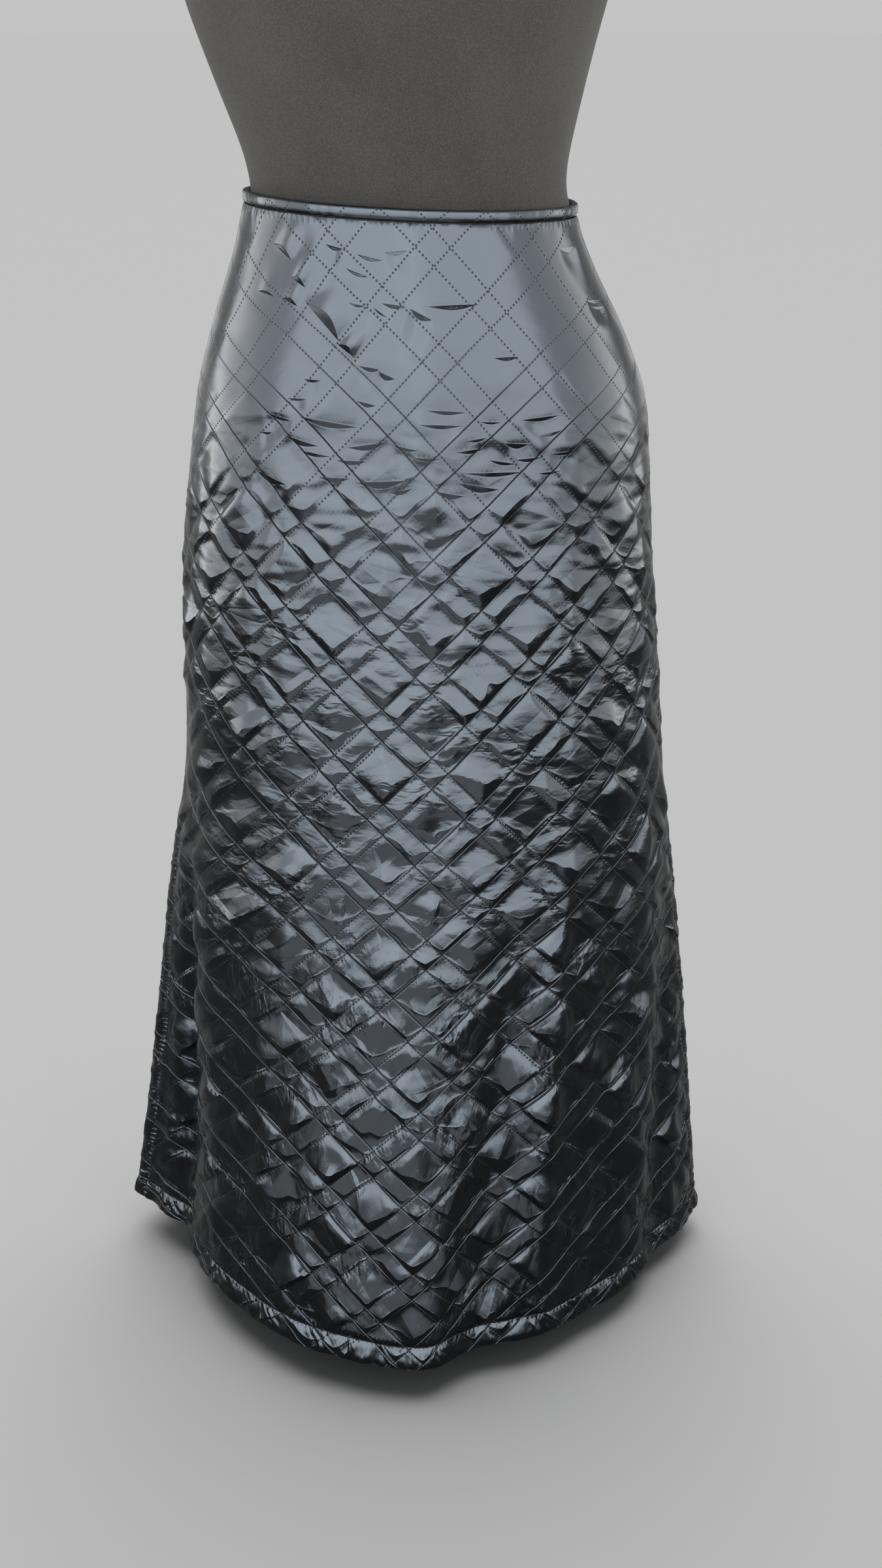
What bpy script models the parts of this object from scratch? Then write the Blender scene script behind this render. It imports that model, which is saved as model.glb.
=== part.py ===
"""A quilted maxi skirt on a limbless dress form.

Two quilted panels meet at the side seams, which open into slits below the
knee.  A narrow binding holds the waist edge against the form, and the hem
and the slit edges are turned inside.  The form stands on a pole and a round
base.  Metres, +Z up, the wearer's front towards -Y, the origin on the floor
under the pole.
"""
import bmesh
import bpy
import math
from mathutils import Vector

# ---------------------------------------------------------------- heights
HEM_HEIGHT = 0.035          # of the hem above the floor, at the middle
SKIRT_LENGTH = 0.917        # waist edge to hem, measured straight down
WAIST_HEIGHT = HEM_HEIGHT + SKIRT_LENGTH
BAND_HEIGHT = 0.008
HEM_TURN = 0.020            # depth of the hem's turn-up
SLIT_DROP = 0.500           # waist edge to the top of the side slits

# ---------------------------------------------------------------- cloth
WALL = 0.0030               # quilted panel, shell and filling
BAND_WALL = 0.0048          # the binding wraps the panel's top edge
TURN_WALL = 0.0015          # a turned layer of the shell alone
SEAM_GAP = 0.0003
BAND_ROUNDING = 0.0014      # of the binding's four edges
SLIT_OPENING = 0.006        # between the slit's two edges at the hem
SLIT_TURN_END = 0.004       # the slit's turned edge stops above the hem's
WAIST_TILT = 0.040          # the skirt sits lower on the wearer's left
HEM_TILT = 0.028

# ---------------------------------------------------------------- grid
ACROSS = 32                 # cells across one panel
EDGE_CROWDING = 0.25        # narrows the cells towards the side seams
PANEL_ROWS = 17             # rows of cells below a panel's first row
FIRST_ROW_DROP = 0.045      # that first row ends here
SLIT_ROWS = 8
AROUND = 48                 # cells round a ring
SLOPE_STEP_ANGLE = 0.5      # degrees to each side when a slope is measured
SLOPE_STEP_DROP = 0.002
SEAM_ANGLE = 89.0           # past it the cloth is at the side seam
CLOTH_SMOOTHING = 40.0      # degrees between faces that shade as one
TURNED_SMOOTHING = 30.0

# ---------------------------------------------------------------- stand
FORM_EASE = 0.004           # between the form and the cloth below the waist
FORM_LEVEL_DROP = 0.200     # the form's own tilt at the waist is gone here
FORM_LEVEL_RISE = 0.120
COLLAR_TOP = 0.034          # of the base's collar, which the pole stands in

# The skirt's outer surface.  drop: below the waist edge; half_width: at the
# side seams; front, back: depth from the axis; shift: of the middle along X.
SECTIONS = (
    # drop, half_width, front, back, shift
    (0.000, 0.1222, 0.0890, 0.0860, -0.0035),
    (0.020, 0.1275, 0.0935, 0.0925, -0.0030),
    (0.047, 0.1372, 0.1000, 0.1010, -0.0008),
    (0.090, 0.1560, 0.1085, 0.1140, 0.0030),
    (0.140, 0.1728, 0.1155, 0.1260, 0.0050),
    (0.200, 0.1812, 0.1205, 0.1320, 0.0030),
    (0.270, 0.1885, 0.1270, 0.1360, 0.0015),
    (0.360, 0.1962, 0.1370, 0.1400, 0.0033),
    (0.460, 0.2048, 0.1490, 0.1480, 0.0052),
    (0.560, 0.2218, 0.1630, 0.1620, 0.0032),
    (0.680, 0.2388, 0.1830, 0.1820, 0.0018),
    (0.800, 0.2548, 0.2050, 0.2030, -0.0007),
    (0.917, 0.2715, 0.2250, 0.2210, -0.0045),
)

# How the cloth hangs in from that outline: it stands out in flanges at the
# side slits, falls in beside them and makes long soft ridges between.
# angle: from the middle of the panel towards the wearer's left, in degrees;
# share: of the section's radius that is left at the hem; start: drop where
# the cloth begins to leave the outline.
FRONT_HANG = (
    # angle, share, start
    (-90.0, 1.000, 0.300),
    (-84.0, 0.915, 0.300),
    (-72.0, 0.852, 0.300),
    (-56.0, 0.842, 0.320),
    (-40.0, 0.883, 0.360),
    (-24.0, 0.950, 0.420),
    (-8.0, 0.994, 0.450),
    (2.0, 1.006, 0.450),
    (9.0, 0.952, 0.430),
    (18.0, 0.907, 0.400),
    (34.0, 0.886, 0.360),
    (54.0, 0.868, 0.320),
    (72.0, 0.900, 0.300),
    (84.0, 0.960, 0.300),
    (90.0, 1.000, 0.300),
)
BACK_HANG = (
    # angle, share, start
    (-90.0, 1.000, 0.300),
    (-84.0, 0.930, 0.300),
    (-72.0, 0.868, 0.300),
    (-58.0, 0.856, 0.320),
    (-42.0, 0.900, 0.360),
    (-26.0, 0.968, 0.420),
    (-12.0, 0.990, 0.440),
    (0.0, 0.948, 0.430),
    (12.0, 0.940, 0.430),
    (26.0, 0.972, 0.420),
    (42.0, 0.915, 0.360),
    (58.0, 0.862, 0.320),
    (72.0, 0.880, 0.300),
    (84.0, 0.945, 0.300),
    (90.0, 1.000, 0.300),
)

# The form's surface.  rise: above the waist edge.
FORM_SECTIONS = (
    # rise, half_width, front, back, shift
    (0.010, 0.1165, 0.0825, 0.0800, -0.0055),
    (0.028, 0.1185, 0.0835, 0.0805, -0.0070),
    (0.055, 0.1265, 0.0870, 0.0830, -0.0090),
    (0.080, 0.1340, 0.0915, 0.0870, -0.0105),
    (0.106, 0.1415, 0.0975, 0.0910, -0.0118),
    (0.131, 0.1495, 0.1050, 0.0950, -0.0125),
    (0.165, 0.1575, 0.1150, 0.0985, -0.0125),
    (0.200, 0.1630, 0.1215, 0.1015, -0.0125),
    (0.230, 0.1655, 0.1205, 0.1035, -0.0125),
    (0.265, 0.1670, 0.1120, 0.1050, -0.0125),
    (0.300, 0.1700, 0.1005, 0.1050, -0.0125),
    (0.330, 0.1730, 0.0900, 0.1010, -0.0125),
    (0.350, 0.1715, 0.0840, 0.0960, -0.0125),
    (0.364, 0.1615, 0.0795, 0.0905, -0.0125),
    (0.376, 0.1400, 0.0745, 0.0845, -0.0125),
    (0.388, 0.1120, 0.0690, 0.0780, -0.0125),
    (0.400, 0.0860, 0.0640, 0.0715, -0.0125),
    (0.412, 0.0690, 0.0600, 0.0655, -0.0125),
    (0.428, 0.0600, 0.0570, 0.0600, -0.0125),
    (0.450, 0.0565, 0.0550, 0.0570, -0.0125),
    (0.470, 0.0560, 0.0545, 0.0560, -0.0125),
)
# The form below the waist, from its lower end up.  rounding: how far its lower
# end draws in.
FORM_HIP_ROWS = (
    # drop, rounding
    (0.285, 0.022),
    (0.279, 0.010),
    (0.262, 0.002),
    (0.235, 0.000),
    (0.200, 0.000),
    (0.165, 0.000),
    (0.130, 0.000),
    (0.095, 0.000),
    (0.062, 0.000),
    (0.035, 0.000),
    (0.016, 0.000),
)
NECK_TOP = WAIST_HEIGHT + FORM_SECTIONS[-1][0]
NECK_SHIFT = FORM_SECTIONS[-1][4]
FORM_BOTTOM = WAIST_HEIGHT - FORM_HIP_ROWS[0][0]

# Turned pieces, each from its foot up.
NECK_CAP = (
    # radius, height above the neck
    (0.0500, SEAM_GAP),
    (0.0575, 0.0020),
    (0.0585, 0.0060),
    (0.0560, 0.0100),
    (0.0420, 0.0150),
    (0.0180, 0.0180),
)
POLE = (
    # radius, height above the floor; the wide end is the form's socket plate
    (0.0125, COLLAR_TOP + SEAM_GAP),
    (0.0125, FORM_BOTTOM - 0.012),
    (0.0400, FORM_BOTTOM - 0.010),
    (0.0400, FORM_BOTTOM - SEAM_GAP),
)
BASE = (
    # radius, height above the floor
    (0.162, 0.0),
    (0.165, 0.003),
    (0.165, 0.008),
    (0.161, 0.011),
    (0.120, 0.0145),
    (0.045, 0.018),
    (0.026, 0.021),
    (0.022, 0.026),
    (0.022, COLLAR_TOP - 0.002),
    (0.020, COLLAR_TOP),
)

MATERIALS = (
    # name, red, green, blue, roughness, metallic
    ("quilted_nylon", 0.055, 0.068, 0.085, 0.38, 0.0),
    ("waist_binding", 0.060, 0.073, 0.090, 0.40, 0.0),
    ("turned_edge", 0.050, 0.062, 0.078, 0.45, 0.0),
    ("jersey", 0.075, 0.071, 0.062, 0.85, 0.0),
    ("stand_black", 0.030, 0.030, 0.032, 0.45, 0.0),
    ("stand_steel", 0.450, 0.450, 0.460, 0.30, 0.9),
)


def smoothstep(value):
    value = min(1.0, max(0.0, value))
    return value * value * (3.0 - 2.0 * value)


def read_table(table, place):
    """Reads a row of values at a place, on smooth curves through the table."""
    rows = sorted(table)
    place = min(max(place, rows[0][0]), rows[-1][0])
    upper = next(index for index in range(1, len(rows)) if place <= rows[index][0])
    lower = upper - 1
    before = rows[max(lower - 1, 0)]
    after = rows[min(upper + 1, len(rows) - 1)]
    low, high = rows[lower], rows[upper]
    span = high[0] - low[0]
    u = (place - low[0]) / span
    result = []
    for column in range(1, len(low)):
        slope_low = (high[column] - before[column]) / (high[0] - before[0]) * span
        slope_high = (after[column] - low[column]) / (after[0] - low[0]) * span
        result.append((2 * u**3 - 3 * u**2 + 1) * low[column]
                      + (u**3 - 2 * u**2 + u) * slope_low
                      + (3 * u**2 - 2 * u**3) * high[column]
                      + (u**3 - u**2) * slope_high)
    return result


def tilt_at(drop):
    return WAIST_TILT + (HEM_TILT - WAIST_TILT) * min(1.0, max(0.0, drop / SKIRT_LENGTH))


def hang_share(side, angle, drop):
    """The share of the section's radius that the hanging cloth keeps."""
    share, start = read_table(FRONT_HANG if side < 0 else BACK_HANG, angle)
    return 1.0 + (share - 1.0) * smoothstep((drop - start) / (SKIRT_LENGTH - start))


def cloth_point(side, angle, drop):
    """A point of the skirt's outer surface; side is -1 in front, 1 behind."""
    half_width, front, back, shift = read_table(SECTIONS, drop)
    depth = front if side < 0 else back
    share = hang_share(side, angle, drop)
    x = half_width * share * math.sin(math.radians(angle))
    opening = SLIT_OPENING * smoothstep((drop - SLIT_DROP) / (SKIRT_LENGTH - SLIT_DROP))
    y = depth * share * math.cos(math.radians(angle)) + 0.5 * (SEAM_GAP + opening)
    z = WAIST_HEIGHT - drop - tilt_at(drop) * x
    return Vector((x + shift, side * y, z))


def cloth_normal(side, angle, drop):
    """The outward normal; at a side seam it has no part across the seam."""
    across = (cloth_point(side, angle + SLOPE_STEP_ANGLE, drop)
              - cloth_point(side, angle - SLOPE_STEP_ANGLE, drop))
    down = (cloth_point(side, angle, drop + SLOPE_STEP_DROP)
            - cloth_point(side, angle, drop - SLOPE_STEP_DROP))
    normal = across.cross(down) * side
    if abs(angle) > SEAM_ANGLE:
        normal = Vector((math.copysign(1.0, angle), 0.0, 0.0))
    return normal.normalized()


def panel_angles():
    angles = []
    for index in range(ACROSS + 1):
        s = 2.0 * index / ACROSS - 1.0
        angles.append(90.0 * ((1.0 + EDGE_CROWDING) * s - EDGE_CROWDING * s**3))
    return angles


def add_object(name, mesh_builder, material, smooth_angle=CLOTH_SMOOTHING):
    """Turns a bmesh into a named object with its own material."""
    mesh = bpy.data.meshes.new(name)
    bmesh.ops.recalc_face_normals(mesh_builder, faces=mesh_builder.faces)
    mesh_builder.to_mesh(mesh)
    mesh_builder.free()
    mesh.shade_smooth()
    mesh.set_sharp_from_angle(angle=math.radians(smooth_angle))
    thing = bpy.data.objects.new(name, mesh)
    thing.data.materials.append(material)
    bpy.context.collection.objects.link(thing)
    return thing


def make_materials():
    materials = {}
    for name, red, green, blue, roughness, metallic in MATERIALS:
        material = bpy.data.materials.new(name)
        material.use_nodes = True
        shader = material.node_tree.nodes["Principled BSDF"]
        shader.inputs["Base Color"].default_value = (red, green, blue, 1.0)
        shader.inputs["Roughness"].default_value = roughness
        shader.inputs["Metallic"].default_value = metallic
        materials[name] = material
    return materials


def make_wall(name, side, angles, drops, outer, inner, material):
    """A closed wall between two offsets inwards from the skirt's surface."""
    builder = bmesh.new()
    layers = []
    for inset in (outer, inner):
        layer = []
        for drop in drops:
            row = []
            for angle in angles:
                point = cloth_point(side, angle, drop) - inset * cloth_normal(side, angle, drop)
                row.append(builder.verts.new(point))
            layer.append(row)
        layers.append(layer)
    last_row, last_column = len(drops) - 1, len(angles) - 1
    for layer in layers:
        for i in range(last_row):
            for j in range(last_column):
                builder.faces.new((layer[i][j], layer[i][j + 1], layer[i + 1][j + 1], layer[i + 1][j]))
    outside, inside = layers
    for i in (0, last_row):
        for j in range(last_column):
            builder.faces.new((outside[i][j], outside[i][j + 1], inside[i][j + 1], inside[i][j]))
    for j in (0, last_column):
        for i in range(last_row):
            builder.faces.new((outside[i][j], outside[i + 1][j], inside[i + 1][j], inside[i][j]))
    return add_object(name, builder, material)


def make_loft(name, rings, material, smooth_angle=CLOTH_SMOOTHING):
    """A closed body through a list of rings, with flat ends."""
    builder = bmesh.new()
    loops = [[builder.verts.new(point) for point in ring] for ring in rings]
    for below, above in zip(loops, loops[1:]):
        for j in range(len(below)):
            k = (j + 1) % len(below)
            builder.faces.new((below[j], below[k], above[k], above[j]))
    builder.faces.new(loops[0])
    builder.faces.new(loops[-1])
    return add_object(name, builder, material, smooth_angle)


def make_turned(name, profile, centre, foot, material):
    """A turned body round the line x = centre, from the height of its foot up."""
    rings = []
    for radius, height in profile:
        ring = []
        for index in range(AROUND):
            turn = 2.0 * math.pi * index / AROUND
            ring.append(Vector((centre + radius * math.cos(turn), radius * math.sin(turn),
                                foot + height)))
        rings.append(ring)
    return make_loft(name, rings, material, TURNED_SMOOTHING)


def panel_drops(first, last, rows):
    return [first + (last - first) * row / rows for row in range(rows + 1)]


def waist_ring(inset, drop, tilt):
    """The skirt's outline at a drop, moved inwards, with one point per cell."""
    ring = []
    for index in range(AROUND):
        turn = 360.0 * index / AROUND
        side = -1 if turn < 180.0 else 1
        angle = turn - 90.0 if side < 0 else 270.0 - turn
        half_width, front, back, shift = read_table(SECTIONS, max(drop, 0.0))
        depth = front if side < 0 else back
        x = (half_width - inset) * math.sin(math.radians(angle))
        y = (depth - inset) * math.cos(math.radians(angle))
        ring.append(Vector((x + shift, side * y, WAIST_HEIGHT - drop - tilt * x)))
    return ring


def form_ring(rise):
    """The form's outline at a rise above the waist; its own tilt fades out."""
    half_width, front, back, shift = read_table(FORM_SECTIONS, rise)
    tilt = WAIST_TILT * (1.0 - smoothstep(rise / FORM_LEVEL_RISE))
    ring = []
    for index in range(AROUND):
        turn = 2.0 * math.pi * index / AROUND
        x = -half_width * math.cos(turn)
        y = -math.sin(turn) * (front if math.sin(turn) > 0 else back)
        ring.append(Vector((x + shift, y, WAIST_HEIGHT + rise - tilt * x)))
    return ring


def build_skirt(materials):
    angles = panel_angles()
    hem_top = SKIRT_LENGTH - HEM_TURN
    drops = ([BAND_HEIGHT + SEAM_GAP] + panel_drops(FIRST_ROW_DROP, hem_top, PANEL_ROWS)
             + [SKIRT_LENGTH])
    slit_drops = panel_drops(SLIT_DROP, hem_top - SLIT_TURN_END, SLIT_ROWS)
    turned_outer = WALL + SEAM_GAP
    turned_inner = turned_outer + TURN_WALL
    for side, name in ((-1, "front"), (1, "back")):
        make_wall(name + "_panel", side, angles, drops, 0.0, WALL, materials["quilted_nylon"])
        make_wall(name + "_hem", side, angles[1:-1], [hem_top, SKIRT_LENGTH],
                  turned_outer, turned_inner, materials["turned_edge"])
        for edge, columns in (("left", angles[:2]), ("right", angles[-2:])):
            make_wall(name + "_slit_" + edge, side, columns, slit_drops,
                      turned_outer, turned_inner, materials["turned_edge"])
    build_band(materials["waist_binding"])


def build_band(material):
    """A ring with rounded edges that wraps the panels' top edge."""
    soft = BAND_ROUNDING
    profile = (
        # inset, drop
        (soft, 0.0), (0.0, soft), (0.0, BAND_HEIGHT - soft), (soft, BAND_HEIGHT),
        (BAND_WALL - soft, BAND_HEIGHT), (BAND_WALL, BAND_HEIGHT - soft),
        (BAND_WALL, soft), (BAND_WALL - soft, 0.0),
    )
    builder = bmesh.new()
    loops = []
    for inset, drop in profile:
        loops.append([builder.verts.new(point) for point in waist_ring(inset, drop, WAIST_TILT)])
    for index, loop in enumerate(loops):
        following = loops[(index + 1) % len(loops)]
        for j in range(AROUND):
            k = (j + 1) % AROUND
            builder.faces.new((loop[j], loop[k], following[k], following[j]))
    add_object("waist_band", builder, material)


def build_form(materials):
    rings = []
    for drop, rounding in FORM_HIP_ROWS:
        inset = WALL + FORM_EASE + rounding
        levelled = smoothstep(drop / FORM_LEVEL_DROP)
        rings.append(waist_ring(inset, drop, WAIST_TILT * (1.0 - levelled)))
    seat = BAND_WALL + SEAM_GAP
    rings.append(waist_ring(seat, BAND_HEIGHT, WAIST_TILT))
    rings.append(waist_ring(seat, 0.0, WAIST_TILT))
    rings.extend(form_ring(row[0]) for row in FORM_SECTIONS)
    make_loft("torso", rings, materials["jersey"])
    make_turned("neck_cap", NECK_CAP, NECK_SHIFT, NECK_TOP, materials["stand_black"])
    make_turned("pole", POLE, 0.0, 0.0, materials["stand_steel"])
    make_turned("base", BASE, 0.0, 0.0, materials["stand_black"])


def main():
    for thing in list(bpy.data.objects):
        bpy.data.objects.remove(thing)
    materials = make_materials()
    build_skirt(materials)
    build_form(materials)


main()
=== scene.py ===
"""The looks of a quilted maxi skirt on a limbless dress form.

The skirt's panels are thin padded shells on the form that the frame gives
them.  Each one is laid out flat first, on the quilting's own grid, so that
every stitched line runs along the mesh, and is then hung on the figure.
Metres, +Z up, the wearer's front towards -Y, the wearer's left at +X.
"""
import math

import bmesh
import bpy
import numpy as np
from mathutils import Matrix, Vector
from mathutils.geometry import delaunay_2d_cdt


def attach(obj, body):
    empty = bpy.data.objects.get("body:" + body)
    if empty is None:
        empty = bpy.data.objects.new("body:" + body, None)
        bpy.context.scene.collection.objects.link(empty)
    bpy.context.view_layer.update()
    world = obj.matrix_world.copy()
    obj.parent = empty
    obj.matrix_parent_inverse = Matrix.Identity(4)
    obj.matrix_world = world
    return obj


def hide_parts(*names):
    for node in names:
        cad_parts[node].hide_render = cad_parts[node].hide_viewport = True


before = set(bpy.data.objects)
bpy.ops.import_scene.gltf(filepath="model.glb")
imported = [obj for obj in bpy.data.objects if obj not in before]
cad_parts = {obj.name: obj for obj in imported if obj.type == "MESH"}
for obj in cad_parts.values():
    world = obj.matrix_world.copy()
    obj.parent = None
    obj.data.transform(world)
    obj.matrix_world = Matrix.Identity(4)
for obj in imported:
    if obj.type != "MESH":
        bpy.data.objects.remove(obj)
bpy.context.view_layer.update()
bpy.ops.object.select_all(action="DESELECT")

MM = 0.001

# ---------------- the skirt's cut
SKIRT_LENGTH = 0.917  # waist edge to hem, straight down
WAIST_HEIGHT = 0.952  # of the waist edge, at the middle
BAND_HEIGHT = 0.008
HEM_TURN = 0.020
CLOTH_SHARE = 1.02  # the cloth is this much longer than its drop
SLIT_DROP = 0.500  # waist edge to the top of the side slits
SLIT_TURN = 0.013
SLIT_OPENING = 0.006
SEAM_GAP = 0.0003
PANEL_TOP = BAND_HEIGHT + SEAM_GAP
WALL = 0.0030
TURN_WALL = 0.0015
BAND_WALL = 0.0048
WAIST_TILT = 0.040  # the skirt sits lower on the wearer's left
HEM_TILT = 0.028

# The skirt's outer surface.  drop: below the waist edge; half_width: at the
# side seams; front, back: depth from the axis; shift: of the middle along X.
SECTIONS = (
    # drop, half_width, front, back, shift
    (0.000, 0.1222, 0.0890, 0.0860, -0.0035),
    (0.020, 0.1275, 0.0935, 0.0925, -0.0030),
    (0.047, 0.1372, 0.1000, 0.1010, -0.0008),
    (0.090, 0.1560, 0.1085, 0.1140, 0.0030),
    (0.140, 0.1728, 0.1155, 0.1260, 0.0050),
    (0.200, 0.1812, 0.1205, 0.1320, 0.0030),
    (0.270, 0.1885, 0.1270, 0.1360, 0.0015),
    (0.360, 0.1962, 0.1370, 0.1400, 0.0033),
    (0.460, 0.2048, 0.1490, 0.1480, 0.0052),
    (0.560, 0.2218, 0.1630, 0.1620, 0.0032),
    (0.680, 0.2388, 0.1830, 0.1820, 0.0018),
    (0.800, 0.2548, 0.2050, 0.2030, -0.0007),
    (0.917, 0.2715, 0.2250, 0.2210, -0.0045),
)

# How the cloth hangs in from that outline.  angle: from the panel's middle
# towards the wearer's left; share: of the radius that is left at the hem;
# start: drop where the cloth begins to leave the outline.
FRONT_HANG = (
    # angle, share, start
    (-90.0, 1.000, 0.300),
    (-84.0, 0.915, 0.300),
    (-72.0, 0.852, 0.300),
    (-56.0, 0.842, 0.320),
    (-40.0, 0.883, 0.360),
    (-24.0, 0.950, 0.420),
    (-8.0, 0.994, 0.450),
    (2.0, 1.006, 0.450),
    (9.0, 0.952, 0.430),
    (18.0, 0.907, 0.400),
    (34.0, 0.886, 0.360),
    (54.0, 0.868, 0.320),
    (72.0, 0.900, 0.300),
    (84.0, 0.960, 0.300),
    (90.0, 1.000, 0.300),
)
BACK_HANG = (
    # angle, share, start
    (-90.0, 1.000, 0.300),
    (-84.0, 0.930, 0.300),
    (-72.0, 0.868, 0.300),
    (-58.0, 0.856, 0.320),
    (-42.0, 0.900, 0.360),
    (-26.0, 0.968, 0.420),
    (-12.0, 0.990, 0.440),
    (0.0, 0.948, 0.430),
    (12.0, 0.940, 0.430),
    (26.0, 0.972, 0.420),
    (42.0, 0.915, 0.360),
    (58.0, 0.862, 0.320),
    (72.0, 0.880, 0.300),
    (84.0, 0.945, 0.300),
    (90.0, 1.000, 0.300),
)

# Long soft troughs (-) and ridges (+) down a panel, in the cloth's own
# metres: across from the middle and down from the waist, top then bottom.
FRONT_FOLDS = (
    # top_across, top_down, low_across, low_down, width, height
    (-0.232, 0.44, -0.290, 0.93, 0.016, -0.0150),
    (-0.190, 0.42, -0.215, 0.95, 0.030, 0.0060),
    (0.245, 0.44, 0.285, 0.95, 0.018, -0.0080),
    (0.205, 0.42, 0.225, 0.95, 0.030, 0.0040),
    (0.116, 0.36, 0.120, 0.92, 0.014, 0.0055),
    (0.075, 0.36, 0.066, 0.95, 0.020, -0.0070),
    (0.165, 0.36, 0.175, 0.95, 0.020, -0.0025),
    (-0.140, 0.40, -0.150, 0.88, 0.014, 0.0020),
    (-0.040, 0.46, -0.062, 0.90, 0.016, -0.0018),
)
BACK_FOLDS = (
    # top_across, top_down, low_across, low_down, width, height
    (-0.236, 0.45, -0.284, 0.95, 0.018, -0.0110),
    (-0.188, 0.42, -0.206, 0.95, 0.028, 0.0050),
    (0.238, 0.43, 0.292, 0.95, 0.018, -0.0120),
    (0.194, 0.44, 0.214, 0.95, 0.030, 0.0050),
    (-0.098, 0.38, -0.112, 0.95, 0.022, -0.0035),
    (0.104, 0.36, 0.118, 0.92, 0.020, -0.0032),
    (0.046, 0.42, 0.058, 0.90, 0.016, 0.0022),
)

# ---------------- quilting
REPEAT = 0.0532  # between pairs of stitched lines
LINES_APART = 1.0 / 3.0  # of the repeat, between a pair's two lines
CELLS = 7  # mesh cells between a pair's two lines
HALF_WIDTH, HALF_HEIGHT = 0.03748, 0.03764  # of a diamond
LEAN_ACROSS, LEAN_DOWN = 0.00085, 0.00112  # how far its halves run out of true
CROSSING = (0.0163, 0.0294)  # across and down, of the crossing next to the waist's middle
SIDES_FROM, SIDES_BEND = 0.115, 0.030  # low down, the quilting beyond is wider and lies lower

# How the padding stands between the lines.  down: from the waist; upper:
# slope of a cell's long upper side; lower: of its short under side; tilt:
# how unevenly the cells face; crumple: slope of the creases that crush
# them; stretch: height of the fine level wrinkles.
FULLNESS = (
    # down, upper, lower, tilt, crumple, stretch
    (0.000, 0.006, 0.020, 0.016, 0.010, 0.00004),
    (0.110, 0.012, 0.035, 0.022, 0.020, 0.00008),
    (0.170, 0.045, 0.120, 0.040, 0.050, 0.00045),
    (0.230, 0.090, 0.280, 0.048, 0.090, 0.00065),
    (0.300, 0.135, 0.400, 0.054, 0.115, 0.00045),
    (0.430, 0.165, 0.460, 0.060, 0.135, 0.00020),
    (0.650, 0.175, 0.560, 0.068, 0.155, 0.00014),
    (0.930, 0.165, 0.600, 0.070, 0.150, 0.00010),
)
PUFF_ROUNDING = 0.0014  # of the fold between a cell's two sides
CRUSH_ROUNDING = 0.0005  # of the creases across a cell
CREASE_ROUNDING = 0.0006  # of the creases placed by hand
CREASE_DEPTH = 0.0030

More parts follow.
